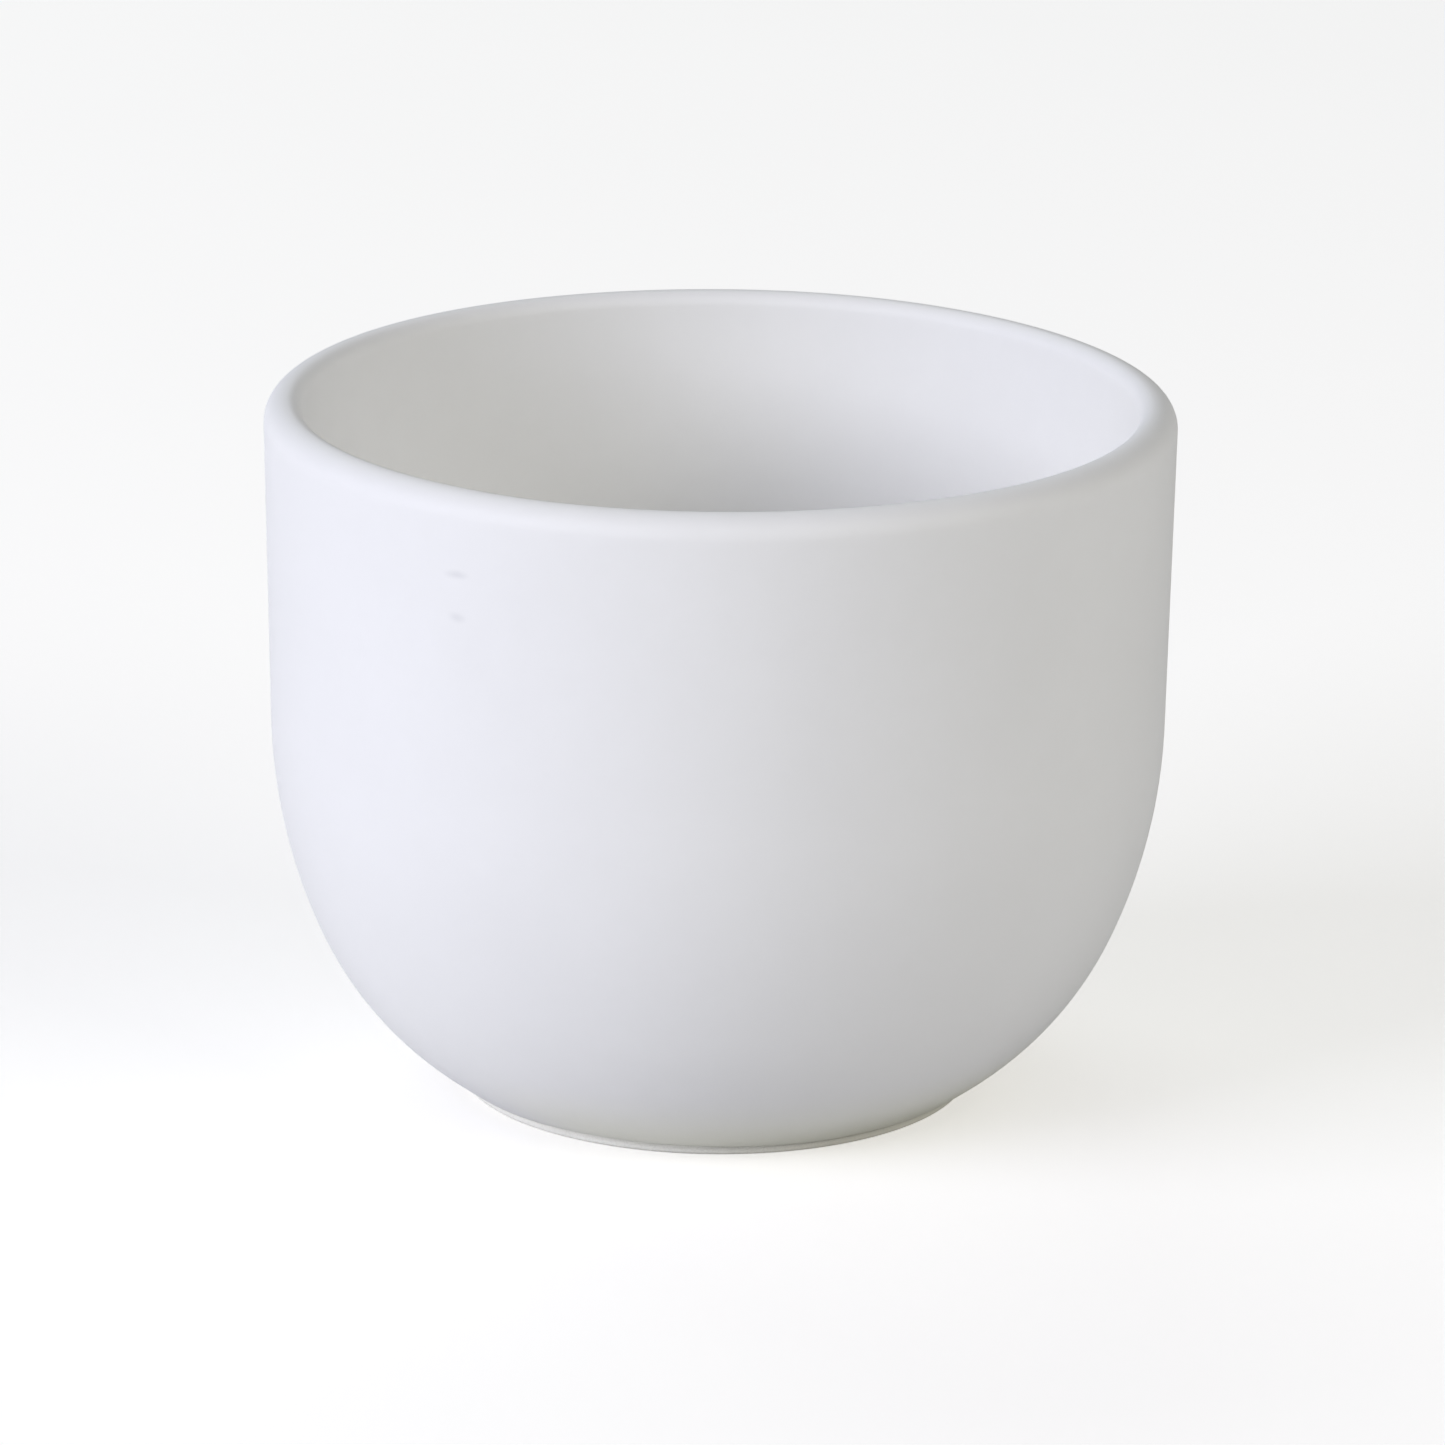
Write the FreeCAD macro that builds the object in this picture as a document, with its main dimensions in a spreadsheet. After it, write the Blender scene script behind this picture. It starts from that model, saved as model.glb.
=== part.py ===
# Porcelain laboratory crucible, medium form, without its lid.
#
# The crucible is one fired pot with a coat of glaze fused on its outside and another on its
# inside, so it has three solids: the bare porcelain body and the two coats. The coats lie on the
# body face to face and meet in a narrow ring at the top of the lip. The body shows only at its
# foot, which is left bare so that the crucible doesn't stick to the kiln shelf.
#
# Every solid is a revolution about +Z. The origin is the centre of the foot's standing plane, and
# lengths are in millimetres. An outline of the pot is drawn at a depth: at depth 0 it is the skin
# that a hand touches, and at the glaze's thickness it is the porcelain body. Its arcs keep their
# centres at every depth, so that a coat is equally thick all over.

import FreeCAD, Part
import math
import os

import Sketcher
from FreeCAD import Vector

PARTS_FOLDER = "parts"

# Names of the cells, sizes in millimetres, and what they measure.
SIZES = [
    ("rim_diameter", 50.0, "widest diameter, just under the top of the lip"),
    ("total_height", 39.0, "from the standing plane to the top of the lip"),
    ("lip_outer_radius", 1.3, "rounding of the lip on the outside"),
    ("lip_inner_radius", 0.8, "rounding of the lip on the inside"),
    ("side_radius", 30.0, "outside of the curved side, below the straight wall"),
    ("side_centre_height", 21.4, "height of the centre of the curved side"),
    ("side_centre_beyond", 5.3, "how far past the axis that centre lies"),
    ("bottom_radius", 19.0, "outside of the bottom, rounder than the side"),
    ("bottom_centre_height", 16.95, "height of the centre of the bottom's curve"),
    ("side_thickness", 2.4, "through the curved side"),
    ("floor_height", 2.7, "height of the flat floor inside"),
    ("floor_blend_radius", 14.0, "inside, from the curved side into the flat floor"),
    ("foot_radius", 14.15, "outside of the foot ring"),
    ("foot_edge_radius", 0.2, "rounding of the foot ring's outer edge"),
    ("recess_radius", 12.0, "shallow recess inside the foot ring"),
    ("recess_depth", 0.3, "shallow recess inside the foot ring"),
    ("recess_edge_radius", 0.12, "rounding of the recess, at its edge and in its corner"),
    ("glaze_thickness", 0.15, "each coat of glaze"),
    ("glaze_end_radius", 14.7, "where the outside coat ends, just above the foot ring"),
    ("glaze_bead_radius", 0.1, "rounding of the outside coat's end"),
]

# How deep under the skin an outline lies, as an expression of the sheet's cells.
SKIN = "0"
BODY = "sizes.glaze_thickness"

# How Sketcher numbers a piece's points, and the sketch's own origin and vertical axis.
START, END, CENTRE = 1, 2, 3
ORIGIN = (-1, 1)
V_AXIS = -2

# Lengths closer than this, in millimetres, count as equal.
CLOSE = 0.001


def make_sheet(doc):
    """The driving dimensions, one row each: meaning, size, and the size's name as an alias."""
    sheet = doc.addObject("Spreadsheet::Sheet", "sizes")
    for row, (name, size, meaning) in enumerate(SIZES, start=1):
        sheet.set(f"A{row}", meaning)
        sheet.set(f"B{row}", str(size))
        sheet.setAlias(f"B{row}", name)
    doc.recompute()
    return sheet


def tangent_normal(low_centre, high_centre, reach):
    """Unit normal, pointing outwards, of the straight wall that touches a low and a high circle.

    reach is how much further the low circle's centre lies behind the wall than the high one's.
    """
    rise = high_centre - low_centre
    angle = math.atan2(rise.y, rise.x) - math.acos(reach / rise.Length)
    return Vector(math.cos(angle), math.sin(angle), 0)


def nested_centre(centre, reach, up):
    """Centre, at a height, of an arc that runs smoothly on below the arc about the given centre.

    reach is the difference between the two arcs' radii.
    """
    return Vector(centre.x + math.sqrt(reach**2 - (centre.y - up) ** 2), up, 0)


class Points:
    """Where an outline's arcs and lines meet at one depth under the skin, and their radii.

    A sketch starts from these points, and its constraints then hold it to the sheet's sizes.
    """

    def __init__(self, sheet, depth):
        lip_across = sheet.rim_diameter / 2 - sheet.lip_outer_radius
        self.side_radius = sheet.side_radius - depth
        self.bottom_radius = sheet.bottom_radius - depth
        self.hollow_radius = sheet.side_radius - sheet.side_thickness + depth
        self.blend_radius = sheet.floor_blend_radius + depth
        self.lip_outer_radius = sheet.lip_outer_radius - depth
        self.lip_inner_radius = sheet.lip_inner_radius - depth
        self.side_centre = Vector(-sheet.side_centre_beyond, sheet.side_centre_height, 0)
        self.lip_outer_centre = Vector(lip_across, sheet.total_height - sheet.lip_outer_radius, 0)
        self.lip_inner_centre = Vector(lip_across, sheet.total_height - sheet.lip_inner_radius, 0)
        self.crown = Vector(lip_across, sheet.total_height - depth, 0)

        reach = self.side_radius - self.lip_outer_radius
        outwards = tangent_normal(self.side_centre, self.lip_outer_centre, reach)
        self.outer_wall_low = self.side_centre + outwards * self.side_radius
        self.outer_wall_high = self.lip_outer_centre + outwards * self.lip_outer_radius

        reach = self.side_radius - self.bottom_radius
        self.bottom_centre = nested_centre(self.side_centre, reach, sheet.bottom_centre_height)
        downwards = (self.bottom_centre - self.side_centre).normalize()
        self.side_low = self.side_centre + downwards * self.side_radius

        reach = self.hollow_radius + self.lip_inner_radius
        outwards = tangent_normal(self.side_centre, self.lip_inner_centre, reach)
        self.inner_wall_low = self.side_centre + outwards * self.hollow_radius
        self.inner_wall_high = self.lip_inner_centre - outwards * self.lip_inner_radius

        floor_up = sheet.floor_height - depth
        reach = self.hollow_radius - self.blend_radius
        self.blend_centre = nested_centre(self.side_centre, reach, floor_up + self.blend_radius)
        downwards = (self.blend_centre - self.side_centre).normalize()
        self.hollow_low = self.side_centre + downwards * self.hollow_radius
        self.floor_rim = Vector(self.blend_centre.x, floor_up, 0)
        self.floor_middle = Vector(0, floor_up, 0)

    def on_bottom(self, across):
        """The point on the outside of the bottom at that distance from the axis."""
        drop = math.sqrt(self.bottom_radius**2 - (across - self.bottom_centre.x) ** 2)
        return Vector(across, self.bottom_centre.y - drop, 0)

    def along(self, point, other):
        """The point of another depth's bottom that lies straight below or above this one's."""
        outwards = (point - self.bottom_centre).normalize()
        return self.bottom_centre + outwards * other.bottom_radius


class Outline:
    """A closed outline in a body's own XZ plane, to be revolved about Z."""

    def __init__(self, body, name):
        self.body = body
        self.sketch = new_sketch(body, name, "XZ_Plane")

    def line(self, first, last):
        """Adds a straight piece and returns its geometry number and the numbers of its ends."""
        return self.sketch.addGeometry(Part.LineSegment(first, last)), START, END

    def arc(self, centre, radius, first, last):
        """Adds an arc that takes the short way from first to last."""
        angles = [math.atan2(p.y - centre.y, p.x - centre.x) for p in (first, last)]
        clockwise = math.sin(angles[1] - angles[0]) < 0
        if clockwise:
            angles.reverse()
        circle = Part.Circle(centre, Vector(0, 0, 1), radius)
        geometry = self.sketch.addGeometry(Part.ArcOfCircle(circle, *angles))
        return (geometry, END, START) if clockwise else (geometry, START, END)

    def constrain(self, *facts):
        return self.sketch.addConstraint(Sketcher.Constraint(*facts))

    def hold(self, name, expression, *facts):
        """Adds a dimension whose size is an expression of the sheet's cells."""
        self.sketch.renameConstraint(self.constrain(*facts), name)
        self.sketch.setExpression(f"Constraints.{name}", expression)

    def hold_radius(self, name, expression, arc, radius):
        self.hold(f"{name}_radius", expression, "Radius", arc[0], radius)

    def hold_across(self, name, expression, geometry, point, across):
        facts = ("DistanceX", *ORIGIN, geometry, point, across)
        self.hold(f"{name}_across", expression, *facts)

    def hold_up(self, name, expression, geometry, point, up):
        self.hold(f"{name}_up", expression, "DistanceY", *ORIGIN, geometry, point, up)

    def hold_side_centre(self, name, arc, points):
        """Holds the centre that the outline's curved side shares with every other depth."""
        beyond = ("DistanceX", arc[0], CENTRE, *ORIGIN, -points.side_centre.x)
        self.hold(f"{name}_beyond", "sizes.side_centre_beyond", *beyond)
        self.hold_up(name, "sizes.side_centre_height", arc[0], CENTRE, points.side_centre.y)

    def on_axis(self, geometry, point):
        self.constrain("PointOnObject", geometry, point, V_AXIS)

    def smooth(self, before, after):
        """Joins two pieces where the first one runs on into the second."""
        self.constrain("Tangent", before[0], before[2], after[0], after[1])

    def meet(self, geometry, point, other, other_point):
        self.constrain("Coincident", geometry, point, other, other_point)

    def revolve(self, name):
        doc = self.body.Document
        doc.recompute()
        if not self.sketch.FullyConstrained:
            raise RuntimeError(f"{self.sketch.Name} isn't fully constrained")
        feature = self.body.newObject("PartDesign::Revolution", name)
        feature.Profile = self.sketch
        feature.ReferenceAxis = (self.sketch, ["V_Axis"])
        feature.Angle = 360
        doc.recompute()
        return feature


def new_sketch(body, name, plane_role):
    plane = next(part for part in body.Origin.OriginFeatures if part.Role == plane_role)
    sketch = body.newObject("Sketcher::SketchObject", name)
    sketch.AttachmentSupport = (plane, "")
    sketch.MapMode = "FlatFace"
    return sketch


def draw_outside(outline, name, points, depth, low_end):
    """Draws bottom, side, wall and lip from low_end to the crown. Returns bottom and lip."""
    bottom = outline.arc(points.bottom_centre, points.bottom_radius, low_end, points.side_low)
    side = outline.arc(
        points.side_centre, points.side_radius, points.side_low, points.outer_wall_low
    )
    wall = outline.line(points.outer_wall_low, points.outer_wall_high)
    lip = outline.arc(
        points.lip_outer_centre, points.lip_outer_radius, points.outer_wall_high, points.crown
    )
    outline.smooth(bottom, side)
    outline.smooth(side, wall)
    outline.smooth(wall, lip)
    outline.constrain("Vertical", lip[0], CENTRE, lip[0], lip[2])
    bottom_size = f"sizes.bottom_radius - {depth}"
    side_size = f"sizes.side_radius - {depth}"
    lip_size = f"sizes.lip_outer_radius - {depth}"
    bottom_up = "sizes.bottom_centre_height"
    outline.hold_up(f"{name}_bottom", bottom_up, bottom[0], CENTRE, points.bottom_centre.y)
    outline.hold_radius(f"{name}_bottom", bottom_size, bottom, points.bottom_radius)
    outline.hold_side_centre(f"{name}_side", side, points)
    outline.hold_radius(f"{name}_side", side_size, side, points.side_radius)
    outline.hold_radius(f"{name}_lip", lip_size, lip, points.lip_outer_radius)
    return bottom, lip


def draw_inside(outline, name, points, depth):
    """Draws lip, wall, hollow and floor from the crown to the axis. Returns lip and floor."""
    lip = outline.arc(
        points.lip_inner_centre, points.lip_inner_radius, points.crown, points.inner_wall_high
    )
    wall = outline.line(points.inner_wall_high, points.inner_wall_low)
    hollow = outline.arc(
        points.side_centre, points.hollow_radius, points.inner_wall_low, points.hollow_low
    )
    blend = outline.arc(
        points.blend_centre, points.blend_radius, points.hollow_low, points.floor_rim
    )
    floor = outline.line(points.floor_rim, points.floor_middle)
    outline.smooth(lip, wall)
    outline.smooth(wall, hollow)
    outline.smooth(hollow, blend)
    outline.smooth(blend, floor)
    outline.on_axis(floor[0], END)
    outline.constrain("Horizontal", floor[0])
    outline.constrain("Vertical", lip[0], CENTRE, lip[0], lip[1])
    lip_size = f"sizes.lip_inner_radius - {depth}"
    hollow_size = f"sizes.side_radius - sizes.side_thickness + {depth}"
    blend_size = f"sizes.floor_blend_radius + {depth}"
    floor_size = f"sizes.floor_height - {depth}"
    outline.hold_radius(f"{name}_lip", lip_size, lip, points.lip_inner_radius)
    outline.hold_side_centre(f"{name}_hollow", hollow, points)
    outline.hold_radius(f"{name}_hollow", hollow_size, hollow, points.hollow_radius)
    outline.hold_radius(f"{name}_blend", blend_size, blend, points.blend_radius)
    outline.hold_up(f"{name}_floor", floor_size, floor[0], END, points.floor_middle.y)
    return lip, floor


def hold_crown(outline, name, points, depth, geometry, point):
    """Holds the top of the lip, where an outline's outside and inside arcs meet."""
    across = "sizes.rim_diameter / 2 - sizes.lip_outer_radius"
    up = f"sizes.total_height - {depth}"
    outline.hold_across(f"{name}_crown", across, geometry, point, points.crown.x)
    outline.hold_up(f"{name}_crown", up, geometry, point, points.crown.y)


def ring_edges(feature, radius, height):
    """Names of a feature's full circles of that radius, about Z, at that height."""
    found = []
    for number, edge in enumerate(feature.Shape.Edges, start=1):
        curve = edge.Curve
        if isinstance(curve, Part.Circle):
            right_height = abs(curve.Center.z - height) < CLOSE
            if right_height and abs(curve.Radius - radius) < CLOSE:
                found.append(f"Edge{number}")
    if not found:
        raise RuntimeError(f"{feature.Name} has no circle of radius {radius} at {height}")
    return found


def round_edges(body, name, base, edges, size):
    """Rounds edges of the base feature, with the radius bound to a cell of the sheet."""
    fillet = body.newObject("PartDesign::Fillet", name)
    fillet.Base = (base, edges)
    fillet.setExpression("Radius", f"sizes.{size}")
    body.Document.recompute()
    return fillet


def make_porcelain_body(doc, sheet):
    """The fired pot: lip, wall, side, bottom, floor and foot ring, with a recess underneath."""
    body = doc.addObject("PartDesign::Body", "porcelain_body")
    points = Points(sheet, sheet.glaze_thickness)
    foot_top = points.on_bottom(sheet.foot_radius)
    foot_rim = Vector(sheet.foot_radius, 0, 0)

    outline = Outline(body, "pot_outline")
    bottom, outer_lip = draw_outside(outline, "outside", points, BODY, foot_top)
    inner_lip, floor = draw_inside(outline, "inside", points, BODY)
    middle = outline.line(points.floor_middle, Vector())
    standing = outline.line(Vector(), foot_rim)
    foot_side = outline.line(foot_rim, foot_top)
    hold_crown(outline, "body", points, BODY, outer_lip[0], outer_lip[2])
    outline.meet(outer_lip[0], outer_lip[2], inner_lip[0], inner_lip[1])
    outline.meet(floor[0], END, middle[0], START)
    outline.meet(middle[0], END, *ORIGIN)
    outline.meet(standing[0], START, *ORIGIN)
    outline.meet(standing[0], END, foot_side[0], START)
    outline.meet(foot_side[0], END, bottom[0], bottom[1])
    outline.constrain("Horizontal", standing[0])
    outline.constrain("Vertical", foot_side[0])
    outline.hold_across("foot", "sizes.foot_radius", standing[0], END, sheet.foot_radius)
    pot = outline.revolve("pot")

    recess_sketch = new_sketch(body, "recess_outline", "XY_Plane")
    circle = Part.Circle(Vector(), Vector(0, 0, 1), sheet.recess_radius)
    recess_sketch.addGeometry(circle)
    recess_sketch.addConstraint(Sketcher.Constraint("Coincident", 0, CENTRE, *ORIGIN))
    width = recess_sketch.addConstraint(Sketcher.Constraint("Radius", 0, sheet.recess_radius))
    recess_sketch.renameConstraint(width, "recess_radius")
    recess_sketch.setExpression("Constraints.recess_radius", "sizes.recess_radius")
    recess = body.newObject("PartDesign::Pocket", "recess")
    recess.Profile = recess_sketch
    recess.Reversed = True
    recess.setExpression("Length", "sizes.recess_depth")
    doc.recompute()
    if recess.Shape.Volume >= pot.Shape.Volume:
        raise RuntimeError("the recess cuts nothing")

    foot_edge = ring_edges(recess, sheet.foot_radius, 0)
    foot = round_edges(body, "foot_edge", recess, foot_edge, "foot_edge_radius")
    recess_edges = ring_edges(foot, sheet.recess_radius, 0)
    recess_edges += ring_edges(foot, sheet.recess_radius, sheet.recess_depth)
    round_edges(body, "recess_edges", foot, recess_edges, "recess_edge_radius")
    return body


def make_outside_glaze(doc, sheet):
    """The coat on the outside, from the top of the lip down to just above the foot ring."""
    body = doc.addObject("PartDesign::Body", "outside_glaze")
    skin = Points(sheet, 0)
    under = Points(sheet, sheet.glaze_thickness)
    skin_end = skin.on_bottom(sheet.glaze_end_radius)
    under_end = skin.along(skin_end, under)

    outline = Outline(body, "coat_outline")
    skin_bottom, skin_lip = draw_outside(outline, "skin", skin, SKIN, skin_end)
    under_bottom, under_lip = draw_outside(outline, "under", under, BODY, under_end)
    crown = outline.line(skin.crown, under.crown)
    end = outline.line(under_end, skin_end)
    hold_crown(outline, "skin", skin, SKIN, crown[0], START)
    hold_crown(outline, "under", under, BODY, crown[0], END)
    outline.meet(crown[0], START, skin_lip[0], skin_lip[2])
    outline.meet(crown[0], END, under_lip[0], under_lip[2])
    outline.meet(end[0], START, under_bottom[0], under_bottom[1])
    outline.meet(end[0], END, skin_bottom[0], skin_bottom[1])
    outline.constrain("PointOnObject", skin_bottom[0], CENTRE, end[0])
    outline.hold_across("end", "sizes.glaze_end_radius", end[0], END, skin_end.x)
    coat = outline.revolve("coat")

    bead_edge = ring_edges(coat, skin_end.x, skin_end.y)
    round_edges(body, "bead", coat, bead_edge, "glaze_bead_radius")
    return body


def make_inside_glaze(doc, sheet):
    """The coat on the inside, from the top of the lip to the middle of the floor."""
    body = doc.addObject("PartDesign::Body", "inside_glaze")
    skin = Points(sheet, 0)
    under = Points(sheet, sheet.glaze_thickness)

    outline = Outline(body, "coat_outline")
    skin_lip, skin_floor = draw_inside(outline, "skin", skin, SKIN)
    under_lip, under_floor = draw_inside(outline, "under", under, BODY)
    crown = outline.line(skin.crown, under.crown)
    middle = outline.line(skin.floor_middle, under.floor_middle)
    hold_crown(outline, "skin", skin, SKIN, crown[0], START)
    hold_crown(outline, "under", under, BODY, crown[0], END)
    outline.meet(crown[0], START, skin_lip[0], skin_lip[1])
    outline.meet(crown[0], END, under_lip[0], under_lip[1])
    outline.meet(middle[0], START, skin_floor[0], END)
    outline.meet(middle[0], END, under_floor[0], END)
    outline.revolve("coat")
    return body


def check(doc, bodies):
    """Stops unless every object recomputed and every sub-part is one valid solid."""
    for thing in doc.Objects:
        if "Invalid" in thing.State or "Error" in thing.State:
            raise RuntimeError(f"{thing.Name} failed: {thing.State}")
    for body in bodies:
        shape = body.Shape
        if shape.isNull() or not shape.isValid() or len(shape.Solids) != 1:
            raise RuntimeError(f"{body.Label} isn't one valid solid")


def main():
    doc = FreeCAD.newDocument("crucible")
    sheet = make_sheet(doc)
    bodies = [
        make_porcelain_body(doc, sheet),
        make_outside_glaze(doc, sheet),
        make_inside_glaze(doc, sheet),
    ]
    for body in bodies:
        body.Placement = FreeCAD.Placement()
    doc.recompute()
    check(doc, bodies)

    os.makedirs(PARTS_FOLDER, exist_ok=True)
    for body in bodies:
        body.Shape.exportStep(f"{PARTS_FOLDER}/{body.Label}.step")
        box = body.Shape.BoundBox
        print(f"{body.Label}: {body.Shape.Volume:.1f} mm3, height {box.ZMin:.2f} to {box.ZMax:.2f}")


main()
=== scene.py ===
"""A porcelain laboratory crucible on a pale floor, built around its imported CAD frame.

The crucible is a fired porcelain pot with one coat of glaze outside and another inside. All three
are turned about +Z from outlines of arcs and straight walls, in metres, in the CAD's own frame.
"""

import math

import bpy
from mathutils import Matrix, Vector


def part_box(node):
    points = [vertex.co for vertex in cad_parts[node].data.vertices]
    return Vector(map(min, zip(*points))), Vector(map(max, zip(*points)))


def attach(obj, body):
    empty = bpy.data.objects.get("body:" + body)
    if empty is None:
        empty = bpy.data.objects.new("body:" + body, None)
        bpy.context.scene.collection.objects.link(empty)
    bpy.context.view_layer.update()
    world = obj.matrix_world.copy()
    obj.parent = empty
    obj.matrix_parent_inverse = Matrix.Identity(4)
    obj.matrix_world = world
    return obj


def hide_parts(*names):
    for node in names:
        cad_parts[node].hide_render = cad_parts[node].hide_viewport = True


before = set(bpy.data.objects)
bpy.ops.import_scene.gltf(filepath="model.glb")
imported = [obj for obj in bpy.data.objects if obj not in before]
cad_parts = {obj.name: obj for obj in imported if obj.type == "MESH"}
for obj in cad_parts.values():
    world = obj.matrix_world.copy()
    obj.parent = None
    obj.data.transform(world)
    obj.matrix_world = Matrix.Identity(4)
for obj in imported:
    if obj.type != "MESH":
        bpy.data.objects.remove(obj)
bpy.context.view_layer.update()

MM = 0.001

# ---------------------------------------------------------------- sizes
# The rim and the height come from the frame. The rest repeat the CAD's driving dimensions.
RIM_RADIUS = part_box("outside_glaze")[1].x
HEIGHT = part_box("outside_glaze")[1].z
LIP_OUTER_RADIUS = 1.3 * MM
LIP_INNER_RADIUS = 0.8 * MM
SIDE_RADIUS = 30.0 * MM
SIDE_CENTRE = (-5.3 * MM, 21.4 * MM)
SIDE_THICKNESS = 2.4 * MM
BOTTOM_RADIUS = 19.0 * MM
BOTTOM_CENTRE_HEIGHT = 16.95 * MM
FLOOR_HEIGHT = 2.7 * MM
FLOOR_BLEND_RADIUS = 14.0 * MM
GLAZE_THICKNESS = 0.15 * MM
GLAZE_END_RADIUS = 14.7 * MM
FOOT_RADIUS = 14.15 * MM
FOOT_EDGE_RADIUS = 0.2 * MM
RECESS_RADIUS = 12.0 * MM
RECESS_DEPTH = 0.3 * MM
RECESS_EDGE_RADIUS = 0.12 * MM
CROWN_RADIUS = RIM_RADIUS - LIP_OUTER_RADIUS

# What a real pot adds to those: a rounded corner where the foot meets the bowl, a thicker and
# slightly wavy end of the outside coat, and a rim that isn't quite round or level.
FOOT_CORNER_RADIUS = 0.1 * MM
BEAD_THICKNESS = 0.05 * MM
BEAD_LENGTH = 0.6 * MM
END_WAVES = [(0.10 * MM, 3, 0.6), (0.07 * MM, 5, 2.4), (0.05 * MM, 11, 4.1)]
RIM_LOBES = [(0.035 * MM, 2, 0.9), (0.015 * MM, 3, 2.2)]
RIM_TILTS = [(0.030 * MM, 2, 2.6), (0.015 * MM, 5, 0.3)]
RIM_FADE_POWER = 3

# How finely the meshes are divided: round the axis, and along an outline's arcs and straight runs.
SEGMENTS = 240
LIP_PIECES = 24
CURVE_PIECES = 20
EDGE_PIECES = 8
RUN_PIECES = 12
SHARP_ANGLE = math.radians(40)


# ---------------------------------------------------------------- outlines, as (radius, height)
def arc(centre, radius, first, last, pieces):
    """Points along an arc from one angle to another, both ends included."""
    angles = [first + (last - first) * i / pieces for i in range(pieces + 1)]
    return [(centre[0] + radius * math.cos(a), centre[1] + radius * math.sin(a)) for a in angles]


def joined(*stretches):
    """One outline from several stretches, with straight runs between them."""
    shares = [(1 - math.cos(math.pi * i / RUN_PIECES)) / 2 for i in range(1, RUN_PIECES)]
    points = list(stretches[0])
    for stretch in stretches[1:]:
        first, last = points[-1], stretch[0]
        points += [tuple(a + (b - a) * s for a, b in zip(first, last)) for s in shares]
        points += stretch
    return points


def wall_angle(low_centre, high_centre, reach):
    """Direction, as an angle, of the outward normal of the wall that touches two circles."""
    rise = (high_centre[0] - low_centre[0], high_centre[1] - low_centre[1])
    return math.atan2(rise[1], rise[0]) - math.acos(reach / math.hypot(*rise))


def nested(centre, reach, height):
    """Centre, at a height, of an arc that runs smoothly on below the arc about another centre.

    reach is the difference between their radii. Also gives the angle at which the two meet.
    """
    drop = centre[1] - height
    across = math.sqrt(reach**2 - drop**2)
    return (centre[0] + across, height), math.atan2(-drop, across)


BOTTOM_CENTRE, SIDE_LOW_ANGLE = nested(
    SIDE_CENTRE, SIDE_RADIUS - BOTTOM_RADIUS, BOTTOM_CENTRE_HEIGHT
)


def outside(depth, end_angle):
    """From an angle on the bottom's arc up to the crown, at a depth under the skin."""
    side, lip = SIDE_RADIUS - depth, LIP_OUTER_RADIUS - depth
    lip_centre = (CROWN_RADIUS, HEIGHT - LIP_OUTER_RADIUS)
    wall = wall_angle(SIDE_CENTRE, lip_centre, side - lip)
    bottom = arc(
        BOTTOM_CENTRE, BOTTOM_RADIUS - depth, end_angle, SIDE_LOW_ANGLE, CURVE_PIECES
    )
    side_arc = arc(SIDE_CENTRE, side, SIDE_LOW_ANGLE, wall, CURVE_PIECES)
    lip_arc = arc(lip_centre, lip, wall, math.pi / 2, LIP_PIECES)
    return joined(bottom + side_arc[1:], lip_arc)


def inside(depth):
    """From the crown down to the middle of the flat floor, at a depth under the skin."""
    hollow, lip = SIDE_RADIUS - SIDE_THICKNESS + depth, LIP_INNER_RADIUS - depth
    lip_centre = (CROWN_RADIUS, HEIGHT - LIP_INNER_RADIUS)
    wall = wall_angle(SIDE_CENTRE, lip_centre, hollow + lip)
    blend = FLOOR_BLEND_RADIUS + depth
    floor = FLOOR_HEIGHT - depth
    blend_centre, turn = nested(SIDE_CENTRE, hollow - blend, floor + blend)
    lip_arc = arc(lip_centre, lip, math.pi / 2, math.pi + wall, LIP_PIECES)
    side_arc = arc(SIDE_CENTRE, hollow, wall, turn, CURVE_PIECES)
    blend_arc = arc(blend_centre, blend, turn, -math.pi / 2, CURVE_PIECES)
    return joined(lip_arc, side_arc + blend_arc[1:], [(0.0, floor)])


def bottom_angle(radius, across):
    """Angle, about the bottom's centre, of the point of its arc that far from the axis."""
    return -math.acos((across - BOTTOM_CENTRE[0]) / radius)


def waves(terms, angle):
    return sum(size * math.cos(count * angle + phase) for size, count, phase in terms)


def pot_outline(_angle):
    """The fired pot, from the middle of the recess round the outside and the inside."""
    bottom = BOTTOM_RADIUS - GLAZE_THICKNESS
    corner, edge, small = FOOT_CORNER_RADIUS, FOOT_EDGE_RADIUS, RECESS_EDGE_RADIUS
    # The corner where the foot meets the bottom is filled by an arc that touches both.
    corner_across = FOOT_RADIUS + corner
    corner_angle = bottom_angle(bottom + corner, corner_across)
    corner_height = BOTTOM_CENTRE[1] + (bottom + corner) * math.sin(corner_angle)
    half = math.pi
    quarter = math.pi / 2
    recess_top = arc(
        (RECESS_RADIUS - small, RECESS_DEPTH - small), small, quarter, 0.0, EDGE_PIECES
    )
    recess_rim = arc((RECESS_RADIUS + small, small), small, half, half + quarter, EDGE_PIECES)
    foot_edge = arc((FOOT_RADIUS - edge, edge), edge, -quarter, 0.0, EDGE_PIECES)
    foot_corner = arc(
        (corner_across, corner_height), corner, half, half + corner_angle, EDGE_PIECES
    )
    skin = outside(GLAZE_THICKNESS, corner_angle)[1:] + inside(GLAZE_THICKNESS)[1:]
    return joined([(0.0, RECESS_DEPTH)], recess_top, recess_rim, foot_edge, foot_corner + skin)


def outside_coat_outline(angle):
    """The outside coat, closed: its underside down from the crown, its end, and its skin."""
    end = bottom_angle(BOTTOM_RADIUS, GLAZE_END_RADIUS + waves(END_WAVES, angle))
    skin = [thickened(point, end) for point in outside(0.0, end)]
    under = outside(GLAZE_THICKNESS, end)
    return under[::-1] + bead(under[0], skin[0], end) + skin


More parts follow.
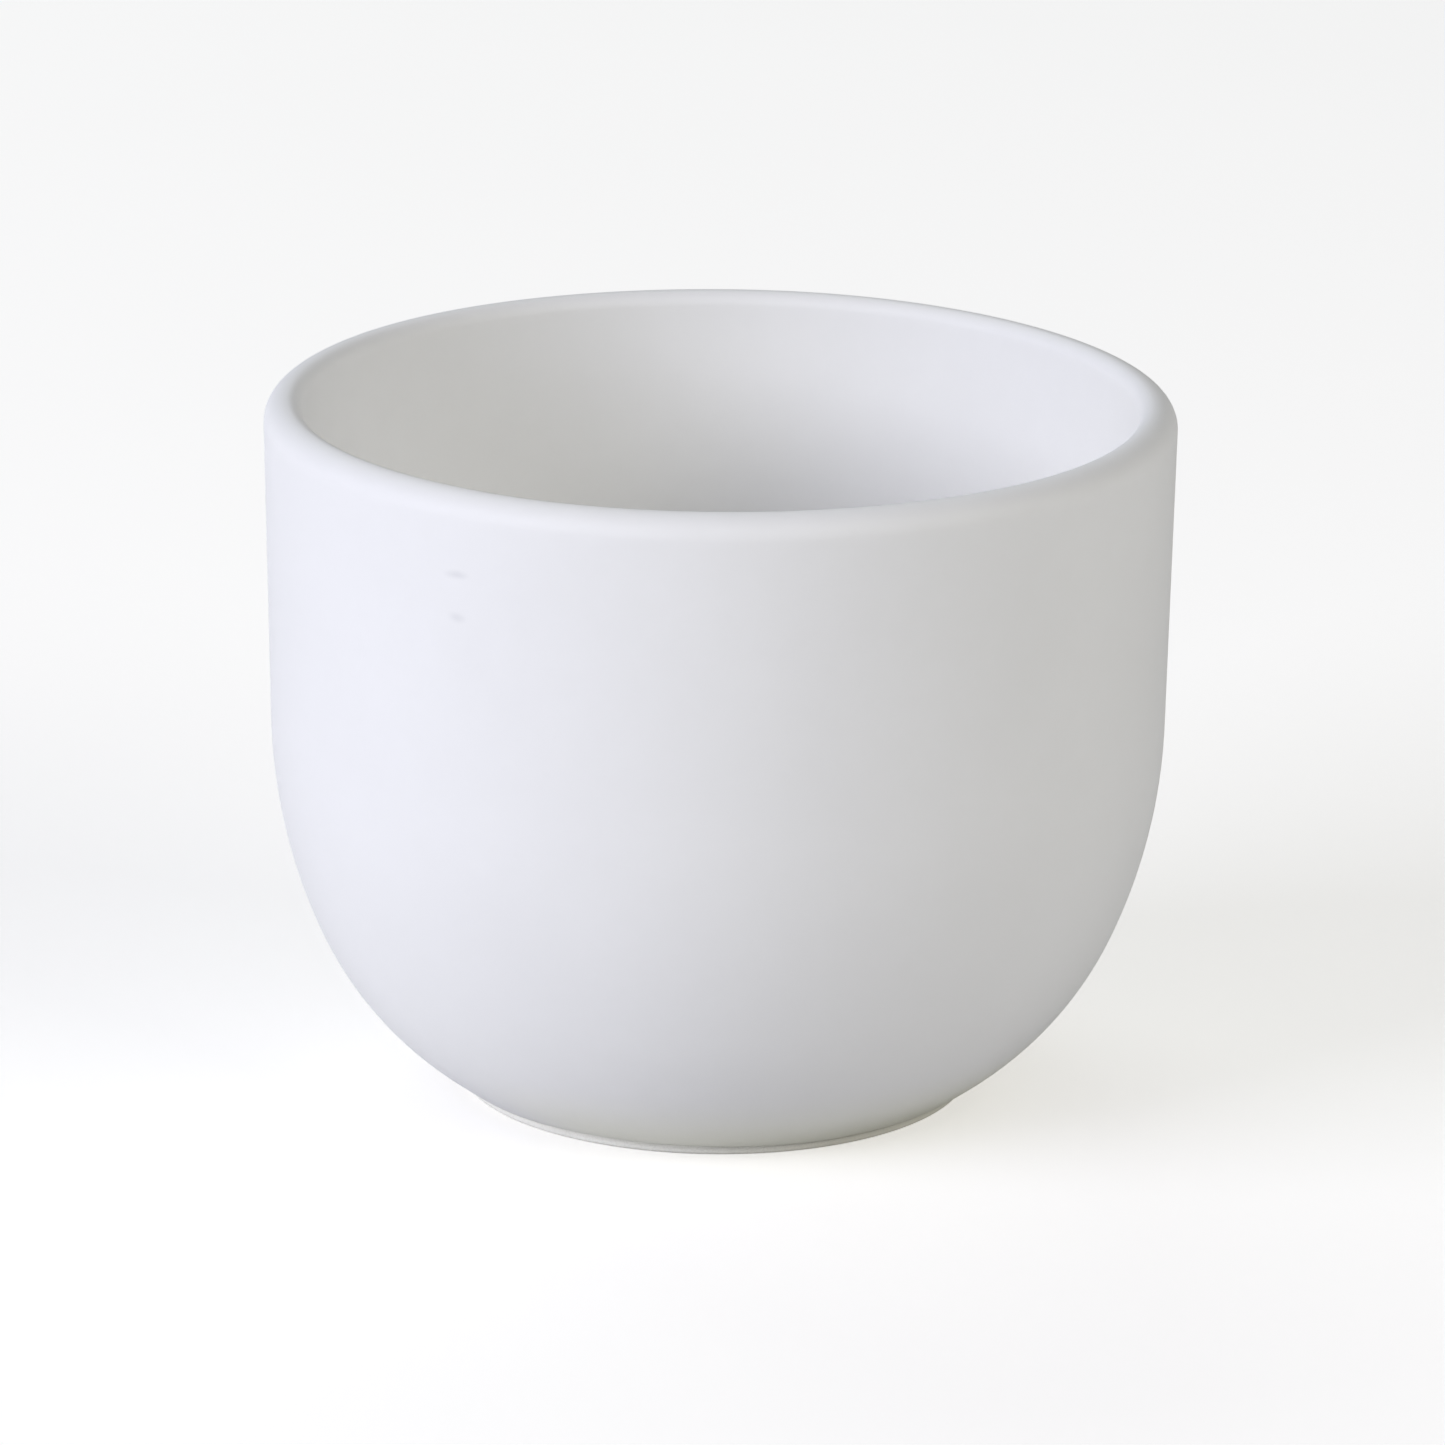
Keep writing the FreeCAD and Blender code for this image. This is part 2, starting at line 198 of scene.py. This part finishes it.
def thickened(point, end):
    """A point of the outside coat's skin, moved out where the coat is thicker near its end."""
    across, height = point[0] - BOTTOM_CENTRE[0], point[1] - BOTTOM_CENTRE[1]
    along = (math.atan2(height, across) - end) * BOTTOM_RADIUS
    swell = 1 + BEAD_THICKNESS / BOTTOM_RADIUS * math.exp(-((along / BEAD_LENGTH) ** 2))
    return (BOTTOM_CENTRE[0] + across * swell, BOTTOM_CENTRE[1] + height * swell)


def bead(under, skin, end):
    """The rounded end of the outside coat, without the two points that it runs between."""
    middle = ((under[0] + skin[0]) / 2, (under[1] + skin[1]) / 2)
    radius = math.dist(under, skin) / 2
    return arc(middle, radius, end - math.pi, end, EDGE_PIECES)[1:-1]


def inside_coat_outline(_angle):
    """The inside coat: its skin from the crown to the floor's middle, and its underside back up."""
    return inside(0.0) + inside(GLAZE_THICKNESS)[::-1]


# ---------------------------------------------------------------- turned pieces
def rim_share(height):
    """How much of the rim's unevenness reaches down to a height: none at the foot."""
    return max(0.0, height / HEIGHT) ** RIM_FADE_POWER


def placed(across, height, angle):
    """The point of an outline at an angle about the axis, with the rim's unevenness."""
    share = rim_share(height)
    round_share = min(1.0, across / CROWN_RADIUS)
    radius = across + share * round_share * waves(RIM_LOBES, angle)
    lift = share * round_share * waves(RIM_TILTS, angle)
    return Vector((radius * math.cos(angle), radius * math.sin(angle), height + lift))


def turned(name, outline_at):
    """A closed mesh piece turned about +Z from a closed outline that may change with the angle."""
    verts, faces, columns = [], [], []
    poles = {}
    for column in range(SEGMENTS):
        angle = 2 * math.pi * column / SEGMENTS
        indices = []
        for row, (across, height) in enumerate(outline_at(angle)):
            if row in poles:
                indices.append(poles[row])
                continue
            if across == 0.0:
                poles[row] = len(verts)
            indices.append(len(verts))
            verts.append(placed(across, height, angle))
        columns.append(indices)
    for column, here in enumerate(columns):
        beside = columns[(column + 1) % SEGMENTS]
        for row, corner in enumerate(here):
            above = (row + 1) % len(here)
            corners = dict.fromkeys([corner, beside[row], beside[above], here[above]])
            # On the axis a face has three corners, and between two points of the axis it has two.
            if len(corners) > 2:
                faces.append(tuple(corners))
    mesh = bpy.data.meshes.new(name)
    mesh.from_pydata(verts, [], faces)
    mesh.shade_smooth()
    mesh.set_sharp_from_angle(angle=SHARP_ANGLE)
    piece = bpy.data.objects.new(name, mesh)
    bpy.context.scene.collection.objects.link(piece)
    return piece


def from_angles(azimuth, elevation, distance):
    """The point at that distance. Azimuth 0 is in front, at -Y, and 90 is on the right, at +X."""
    a, e = math.radians(azimuth), math.radians(elevation)
    return Vector((math.sin(a) * math.cos(e), -math.cos(a) * math.cos(e), math.sin(e))) * distance


# ---------------------------------------------------------------- materials
# Nearly all the values of a noise lie between these two.
NOISE_SPAN = 0.3, 0.7

# White satin glaze: large faint clouds, small ones at part strength, and a gloss that drifts a
# little. Distances are in metres, and a relief's depth is from its lowest to its highest point.
GLAZE_COLOUR = (0.885, 0.880, 0.865)
GLAZE_CLOUD_COLOUR = (0.865, 0.860, 0.844)
GLAZE_IOR = 1.5
GLAZE_ROUGHNESS = 0.65
ROUGHNESS_DRIFT = 0.03
DRIFT_SIZE = 5 * MM
CLOUD_SIZE = 14 * MM
SMALL_CLOUD_SIZE = 1.6 * MM
SMALL_CLOUD_STRENGTH = 0.35
ORANGE_PEEL_SIZE = 1.1 * MM
ORANGE_PEEL_DEPTH = 0.006 * MM
RIPPLE_SIZE = 0.3 * MM
RIPPLE_DEPTH = 0.2 * ORANGE_PEEL_DEPTH

# Specks with a pinhole in each: one cell in four of that size has one. The core and edge are
# shares of a cell.
SPECK_SPACING = 6 * MM
SPECK_CORE, SPECK_EDGE = 0.010, 0.025
SPECKLESS_SHARE = 0.75
SPECK_STRENGTH = 0.35
SPECK_COLOUR = (0.35, 0.31, 0.26)
PINHOLE_DEPTH = 0.01 * MM

# Two faint grey marks on the outer wall: azimuth, height, half width, flatness and strength.
MARKS = [(-33.7, 34.65 * MM, 1.45 * MM, 3.0, 0.22), (-33.8, 32.3 * MM, 1.05 * MM, 1.8, 0.19)]
MARK_COLOUR = (0.45, 0.45, 0.47)
MARK_RADIUS = RIM_RADIUS - 0.1 * MM
MARK_WOBBLE_SIZE = 0.8 * MM
MARK_WOBBLE = 0.6

# Bare porcelain: fine trimming rings, grit, and soft stains.
BARE_COLOUR = (0.85, 0.84, 0.77)
BARE_IOR = 1.5
BARE_ROUGHNESS = 0.85
# The stains' colour, also used for the painted shade on the foot's wall.
STAIN_AND_SHADE_COLOUR = (0.62, 0.60, 0.53)
STAIN_SIZE = 3.5 * MM
STAIN_SPAN = 0.45, 0.75
STAIN_STRENGTH = 0.25
RING_SIZE = 0.35 * MM
RING_DEPTH = 0.02 * MM
GRIT_SIZE = 0.12 * MM
GRIT_SPAN = 0.35, 0.55
GRIT_STRENGTH = 0.25
GRIT_DEPTH = 0.015 * MM

# Painted shade on the shaded side of the pot, away from the key light. A thin dark olive line, in
# random patches, shows there where the foot meets the bottom, just under the end of the glaze, and
# the
# foot's wall is painted darker. A reach is a pair of cosines of the angle from the middle of that
# side:
# no effect up to the first, all from the second. FOOT_WALL is the radii between which the painted
# shade on the foot's wall comes in, so the flat underside has none.
SHADED_SIDE_AZIMUTH = 50
PAINTED_SHADE_COLOUR = (0.45, 0.44, 0.34)
SHADE_LINE_HEIGHTS = 0.40 * MM, 0.58 * MM
SHADE_LINE_REACH = 0.84, 0.96
SHADE_PATCH_SIZE = 6 * MM
SHADE_PATCH_SPAN = 0.35, 0.65
SHADE_PATCH_STRENGTHS = 0.6, 1.0
FOOT_WALL = 13.4 * MM, 14.0 * MM
FOOT_SHADE_REACH = 0.7, 1.0
FOOT_SHADE_STRENGTH = 0.55
# Painted light low on the outside glaze, fading out upwards: a yellowish tint of painted warm
# reflected light, and an olive painted shade on the shaded side. The reach, the heights that it
# fades out over, the strength and the colour of each.
FOOT_SHADE_TINTS = [
    ((-0.2, 0.3), (0.8 * MM, 5.5 * MM), 0.20, (0.885, 0.875, 0.47)),
    ((0.45, 0.95), (0.8 * MM, 3.2 * MM), 0.16, PAINTED_SHADE_COLOUR),
]

# The floor looks brighter to the camera than the light that it throws back on the crucible, as a
# floor does that has lamps of its own around the edge of the picture.
FLOOR_COLOUR = (0.72, 0.72, 0.72)
FLOOR_CLOUD_SIZE = 120 * MM
FLOOR_CLOUD_SHADE = 0.985
FLOOR_ROUGHNESS = 0.9
FLOOR_IOR = 1.4
FLOOR_GLOW = 0.48
FLOOR_GLOW_COLOUR = (1.0, 0.98, 0.94)

# Where a Mix node has its two colours and their mixture.
MIX_FIRST, MIX_SECOND, MIX_RESULT = 6, 7, 2
IN_PLAN = (1.0, 1.0, 0.0)


class Nodes:
    """Short calls for building one material's node tree. Textures read the row's own frame."""

    def __init__(self, name):
        self.material = bpy.data.materials.new(name)
        self.material.use_nodes = True
        self.tree = self.material.node_tree
        self.shader = self.tree.nodes["Principled BSDF"]
        self.place = self.tree.nodes.new("ShaderNodeTexCoord").outputs["Object"]

    def node(self, kind, inputs, **settings):
        made = self.tree.nodes.new(kind)
        for key, value in settings.items():
            setattr(made, key, value)
        for key, value in inputs.items():
            if isinstance(value, bpy.types.NodeSocket):
                self.tree.links.new(value, made.inputs[key])
            else:
                made.inputs[key].default_value = value
        return made

    def math(self, operation, *values):
        return self.node("ShaderNodeMath", dict(enumerate(values)), operation=operation).outputs[0]

    def noise(self, size, detail=2.0, roughness=0.5, place=None):
        """Noise from 0 to 1 whose features are about that size, in metres."""
        inputs = {"Vector": place or self.place, "Scale": 1 / size}
        inputs.update({"Detail": detail, "Roughness": roughness})
        return self.node("ShaderNodeTexNoise", inputs).outputs["Fac"]

    def ramp(self, value, low, high, to_low=0.0, to_high=1.0):
        """A value spread from one range to another, smoothly and clamped."""
        inputs = {"Value": value, "From Min": low, "From Max": high}
        inputs.update({"To Min": to_low, "To Max": to_high})
        kind = "ShaderNodeMapRange"
        return self.node(kind, inputs, interpolation_type="SMOOTHSTEP").outputs["Result"]

    def mix(self, share, first, second):
        """One colour shading into another. Either may be a socket."""
        made = self.node("ShaderNodeMix", {"Factor": share}, data_type="RGBA")
        for index, colour in ((MIX_FIRST, first), (MIX_SECOND, second)):
            if isinstance(colour, bpy.types.NodeSocket):
                self.tree.links.new(colour, made.inputs[index])
            else:
                made.inputs[index].default_value = (*colour, 1.0)
        return made.outputs[MIX_RESULT]

    def bump(self, height, depth, below=None):
        """Adds relief of that depth, in metres, over any relief made before it."""
        inputs = {"Height": height, "Distance": depth, "Strength": 1.0}
        if below:
            inputs["Normal"] = below
        return self.node("ShaderNodeBump", inputs).outputs["Normal"]

    def set(self, **inputs):
        """Sets the shader's sockets. An underscore in a name stands for a space."""
        for key, value in inputs.items():
            socket = self.shader.inputs[key.replace("_", " ")]
            if isinstance(value, bpy.types.NodeSocket):
                self.tree.links.new(value, socket)
            elif isinstance(value, tuple):
                socket.default_value = (*value, 1.0)
            else:
                socket.default_value = value
        return self.material


def glaze(name, marks, shade_tints):
    """White satin glaze: faint clouding, fine orange peel, and a few specks and pinholes."""
    n = Nodes(name)
    clouds = n.ramp(n.noise(CLOUD_SIZE, 3.0), *NOISE_SPAN)
    small_clouds = n.ramp(n.noise(SMALL_CLOUD_SIZE, 3.0), *NOISE_SPAN)
    colour = n.mix(clouds, GLAZE_COLOUR, GLAZE_CLOUD_COLOUR)
    share = n.math("MULTIPLY", small_clouds, SMALL_CLOUD_STRENGTH)
    colour = n.mix(share, colour, GLAZE_CLOUD_COLOUR)
    for facts in marks:
        colour = n.mix(mark(n, *facts), colour, MARK_COLOUR)
    # Painted light low on the shaded side: a warm reflected tint and an olive painted shade.
    for reach, heights, strength, shade_tint in shade_tints:
        low = n.ramp(height_of(n), *heights, strength, 0.0)
        colour = n.mix(n.math("MULTIPLY", shaded_side(n, reach), low), colour, shade_tint)

    cells = n.node("ShaderNodeTexVoronoi", {"Vector": n.place, "Scale": 1 / SPECK_SPACING})
    near = n.ramp(cells.outputs["Distance"], SPECK_CORE, SPECK_EDGE, 1.0, 0.0)
    lot = n.node("ShaderNodeSeparateColor", {"Color": cells.outputs["Color"]}).outputs["Red"]
    specks = n.math("MULTIPLY", near, n.math("GREATER_THAN", lot, SPECKLESS_SHARE))
    colour = n.mix(n.math("MULTIPLY", specks, SPECK_STRENGTH), colour, SPECK_COLOUR)

    relief = n.bump(n.noise(ORANGE_PEEL_SIZE, 2.0), ORANGE_PEEL_DEPTH)
    relief = n.bump(n.noise(RIPPLE_SIZE, 2.0), RIPPLE_DEPTH, relief)
    relief = n.bump(n.math("SUBTRACT", 1.0, specks), PINHOLE_DEPTH, relief)
    roughest = GLAZE_ROUGHNESS + ROUGHNESS_DRIFT
    smoothest = GLAZE_ROUGHNESS - ROUGHNESS_DRIFT
    gloss = n.ramp(n.noise(DRIFT_SIZE, 3.0), *NOISE_SPAN, smoothest, roughest)
    return n.set(Base_Color=colour, Roughness=gloss, Normal=relief, IOR=GLAZE_IOR)


def height_of(n):
    return n.node("ShaderNodeSeparateXYZ", {0: n.place}).outputs["Z"]


def in_plan(n):
    """The place seen from above, with no height, as a vector from the axis."""
    return n.node("ShaderNodeVectorMath", {0: n.place, 1: IN_PLAN}, operation="MULTIPLY").outputs[0]


def shaded_side(n, reach):
    """How far round a place lies on the shaded side, away from the key light: from 0 to 1. A mask
    for painted shade.
    """
    away = n.node("ShaderNodeVectorMath", {0: in_plan(n)}, operation="NORMALIZE").outputs[0]
    middle = tuple(from_angles(SHADED_SIDE_AZIMUTH, 0, 1.0))
    cosine = n.node("ShaderNodeVectorMath", {0: away, 1: middle}, operation="DOT_PRODUCT")
    return n.ramp(cosine.outputs["Value"], *reach)


def mark(n, azimuth, height, width, flatness, strength):
    """How strongly a faint, soft-edged mark on the outer wall shows: wider than it is tall."""
    middle = from_angles(azimuth, 0, MARK_RADIUS) + Vector((0, 0, height))
    stretch = (1.0, 1.0, flatness)
    flat_middle = tuple(a * b for a, b in zip(middle, stretch))
    place = n.node("ShaderNodeVectorMath", {0: n.place, 1: stretch}, operation="MULTIPLY")
    away = n.node(
        "ShaderNodeVectorMath", {0: place.outputs[0], 1: flat_middle}, operation="DISTANCE"
    )
    wobble = n.noise(MARK_WOBBLE_SIZE, 2.0)
    edge = n.math("MULTIPLY_ADD", wobble, width * MARK_WOBBLE, width * (1 - MARK_WOBBLE))
    share = n.math("DIVIDE", away.outputs["Value"], edge)
    return n.ramp(share, 0.0, 1.0, strength, 0.0)


def bare_porcelain():
    """Unglazed porcelain: matte, gritty, stained, with trimming rings, and painted shade on the
    shaded side.
    """
    n = Nodes("bare_porcelain")
    across = n.node("ShaderNodeVectorMath", {0: in_plan(n)}, operation="LENGTH").outputs["Value"]
    rings = n.node("ShaderNodeCombineXYZ", {"X": across}).outputs[0]
    trimming = n.noise(RING_SIZE, 2.0, 0.6, rings)
    grit = n.noise(GRIT_SIZE, 3.0, 0.7)
    stain = n.ramp(n.noise(STAIN_SIZE, 4.0, 0.6), *STAIN_SPAN, 0.0, STAIN_STRENGTH)
    colour = n.mix(stain, BARE_COLOUR, STAIN_AND_SHADE_COLOUR)
    colour = n.mix(n.ramp(grit, *GRIT_SPAN, GRIT_STRENGTH, 0.0), colour, STAIN_AND_SHADE_COLOUR)

    # Painted shade: the foot's wall darker on the side away from the key light.
    wall = n.ramp(across, *FOOT_WALL, 0.0, FOOT_SHADE_STRENGTH)
    wall_shade = n.math("MULTIPLY", shaded_side(n, FOOT_SHADE_REACH), wall)
    colour = n.mix(wall_shade, colour, STAIN_AND_SHADE_COLOUR)
    # Painted shade: a thin dark olive line where the foot meets the bottom, in random patches, on
    # the shaded side.
    shade_line = n.math("MULTIPLY", shaded_side(n, SHADE_LINE_REACH), n.ramp(height_of(n), *SHADE_LINE_HEIGHTS))
    shade_patches = n.noise(SHADE_PATCH_SIZE, 3.0)
    shade_patches = n.ramp(shade_patches, *SHADE_PATCH_SPAN, *SHADE_PATCH_STRENGTHS)
    colour = n.mix(n.math("MULTIPLY", shade_line, shade_patches), colour, PAINTED_SHADE_COLOUR)

    relief = n.bump(trimming, RING_DEPTH)
    relief = n.bump(grit, GRIT_DEPTH, relief)
    return n.set(Base_Color=colour, Roughness=BARE_ROUGHNESS, Normal=relief, IOR=BARE_IOR)


def floor_material():
    """Matte pale floor with barely visible clouding, and its glow to the camera alone."""
    n = Nodes("pale_floor")
    clouds = n.ramp(n.noise(FLOOR_CLOUD_SIZE, 2.0), *NOISE_SPAN)
    colour = n.mix(clouds, FLOOR_COLOUR, tuple(FLOOR_CLOUD_SHADE * c for c in FLOOR_COLOUR))
    seen = n.tree.nodes.new("ShaderNodeLightPath").outputs["Is Camera Ray"]
    glow = n.math("MULTIPLY", seen, FLOOR_GLOW)
    n.set(Emission_Color=FLOOR_GLOW_COLOUR, Emission_Strength=glow)
    return n.set(Base_Color=colour, Roughness=FLOOR_ROUGHNESS, IOR=FLOOR_IOR)


# ---------------------------------------------------------------- the pieces
def dressed(piece, node, material):
    piece.data.materials.append(material)
    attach(piece, "root")
    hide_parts(node)
    return piece


pot = turned("pot", pot_outline)
dressed(pot, "porcelain_body", bare_porcelain())
outside_coat = turned("outside_coat", outside_coat_outline)
outside_material = glaze("white_glaze_outside", MARKS, FOOT_SHADE_TINTS)
dressed(outside_coat, "outside_glaze", outside_material)
inside_coat = turned("inside_coat", inside_coat_outline)
inside_material = glaze("white_glaze_inside", [], [])
dressed(inside_coat, "inside_glaze", inside_material)


# ---------------------------------------------------------------- floor, lights and camera
FLOOR_SIZE = 4.0

floor_mesh = bpy.data.meshes.new("floor")
half = FLOOR_SIZE / 2
corners = [(-half, -half, 0), (half, -half, 0), (half, half, 0), (-half, half, 0)]
floor_mesh.from_pydata(corners, [], [(0, 1, 2, 3)])
floor_mesh.materials.append(floor_material())
floor = bpy.data.objects.new("floor", floor_mesh)
bpy.context.scene.collection.objects.link(floor)


def softbox(name, azimuth, elevation, width, height, power, colour):
    """A rectangular area light that faces the middle of the crucible. Sizes are in degrees."""
    light = bpy.data.lights.new(name, "AREA")
    light.shape = "RECTANGLE"
    light.size = 2 * LIGHT_DISTANCE * math.tan(math.radians(width / 2))
    light.size_y = 2 * LIGHT_DISTANCE * math.tan(math.radians(height / 2))
    light.energy = power
    light.color = colour
    lamp = bpy.data.objects.new(name, light)
    middle = Vector((0, 0, HEIGHT / 2))
    lamp.location = middle + from_angles(azimuth, elevation, LIGHT_DISTANCE)
    lamp.rotation_mode = "QUATERNION"
    lamp.rotation_quaternion = (middle - lamp.location).to_track_quat("-Z", "Y")
    bpy.context.scene.collection.objects.link(lamp)
    return lamp


LIGHT_DISTANCE = 0.9
LIGHTS = [
    ("key_left", -60, 21, 40, 24, 6.68, (0.886, 0.898, 1.0)),
    ("fill_right", 55, 28, 40, 20, 3.04, (1.0, 0.98, 0.89)),
    ("behind_left", -160, 38, 40, 30, 1.62, (0.92, 0.99, 0.94)),
]
for facts in LIGHTS:
    softbox(*facts)

# The light from all round, and the tone in which the camera sees the space beyond the floor.
AMBIENT_COLOUR = (0.161, 0.165, 0.193)
BACKDROP_COLOUR = (0.60, 0.59, 0.585)

world = bpy.data.worlds.new("studio")
world.use_nodes = True
path = world.node_tree.nodes.new("ShaderNodeLightPath")
tone = world.node_tree.nodes.new("ShaderNodeMix")
tone.data_type = "RGBA"
tone.inputs[MIX_FIRST].default_value = (*AMBIENT_COLOUR, 1.0)
tone.inputs[MIX_SECOND].default_value = (*BACKDROP_COLOUR, 1.0)
sky = world.node_tree.nodes["Background"].inputs
world.node_tree.links.new(path.outputs["Is Camera Ray"], tone.inputs["Factor"])
world.node_tree.links.new(tone.outputs[MIX_RESULT], sky["Color"])
bpy.context.scene.world = world
bpy.context.scene.view_settings.view_transform = "Standard"

CAMERA_ELEVATION = 16.99
CAMERA_DISTANCE = 20 * RIM_RADIUS
CAMERA_AIM = Vector((0, 0, 0.8 * RIM_RADIUS))
CAMERA_ROLL = math.radians(0.55)
CAMERA_LENS = 225.0
CAMERA_SHIFT = (0.0032, 0.0041)

camera_data = bpy.data.cameras.new("camera")
camera_data.sensor_width = 36.0
camera_data.lens = CAMERA_LENS
camera_data.shift_x, camera_data.shift_y = CAMERA_SHIFT
camera_data.clip_start = 0.01
camera = bpy.data.objects.new("camera", camera_data)
camera.location = CAMERA_AIM + from_angles(0, CAMERA_ELEVATION, CAMERA_DISTANCE)
facing = (CAMERA_AIM - camera.location).to_track_quat("-Z", "Y").to_matrix().to_4x4()
camera.rotation_mode = "QUATERNION"
camera.rotation_quaternion = (facing @ Matrix.Rotation(CAMERA_ROLL, 4, "Z")).to_quaternion()
bpy.context.scene.collection.objects.link(camera)
bpy.context.scene.camera = camera
